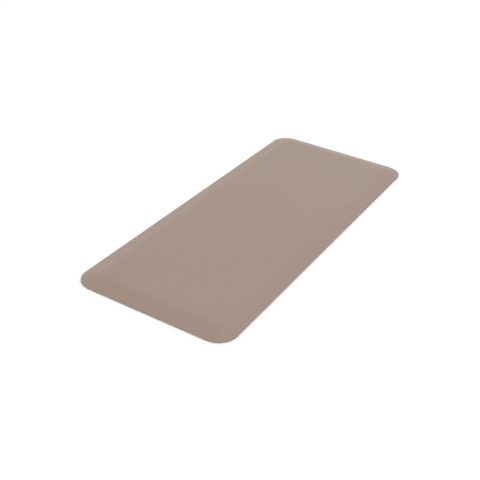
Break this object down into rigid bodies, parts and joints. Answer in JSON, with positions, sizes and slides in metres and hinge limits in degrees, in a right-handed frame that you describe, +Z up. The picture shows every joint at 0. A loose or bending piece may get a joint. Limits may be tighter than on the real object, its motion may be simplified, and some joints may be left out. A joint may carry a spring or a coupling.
{
  "type": "anti-fatigue mat",
  "caption": "Rectangular cushioned floor mat with rounded corners and wide bevelled edges, for standing on at a desk or counter.",
  "frame": {"origin": "centre of the mat's underside, on the floor", "axes": "+X along the mat's length, +Y across its width away from the user's side, +Z up"},
  "size_m": [1.2192, 0.508, 0.0191],
  "materials": {
    "cover": "taupe moulded polyurethane skin, matte, with a fine leather grain",
    "soft_foam": "soft open-cell polyurethane foam, cream",
    "firm_foam": "firm closed-cell foam, slate grey",
    "base": "charcoal non-slip rubber with a honeycomb tread underneath",
    "adhesive": "translucent amber hot-melt adhesive"
  },
  "bodies": {
    "root": {"top_cover": "cover", "comfort_foam": "soft_foam", "support_foam": "firm_foam", "base_sheet": "base", "rim_bond_bead": "adhesive"}
  },
  "joints": []
}
